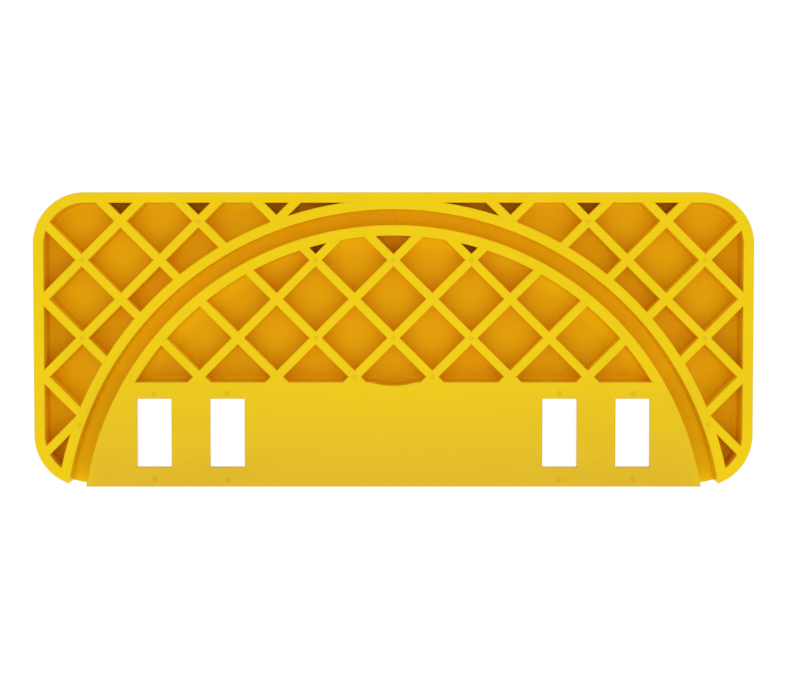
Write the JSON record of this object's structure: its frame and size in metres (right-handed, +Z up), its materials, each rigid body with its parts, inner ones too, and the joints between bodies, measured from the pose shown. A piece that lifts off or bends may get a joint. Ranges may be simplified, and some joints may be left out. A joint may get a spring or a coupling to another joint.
{
  "type": "uncapping frame rest",
  "caption": "Flat rounded moulded plate that sits on a honey bucket's rim in a curved groove and holds a hive frame on end in a long pocket with lug slots.",
  "frame": {"origin": "middle of the plate's outline, in the plane of the rib ends that it lies on", "axes": "+X along the long side, +Y from the straight front edge with the pocket to the back, +Z up through the honeycomb face"},
  "size_m": [0.332, 0.136, 0.0205],
  "materials": {
    "yellow_plastic": "satin moulded polypropylene"
  },
  "bodies": {
    "root": {"top_deck": "yellow_plastic", "front_rail": "yellow_plastic", "pocket_floor": "yellow_plastic", "pocket_back_wall": "yellow_plastic", "pocket_left_end": "yellow_plastic", "pocket_right_end": "yellow_plastic", "groove_outer_wall": "yellow_plastic", "groove_inner_wall": "yellow_plastic", "back_skirt": "yellow_plastic", "left_skirt": "yellow_plastic", "right_skirt": "yellow_plastic", "centre_ribs": "yellow_plastic", "left_ribs": "yellow_plastic", "right_ribs": "yellow_plastic", "honeycomb_ridges": "yellow_plastic", "label_border": "yellow_plastic"}
  },
  "joints": []
}
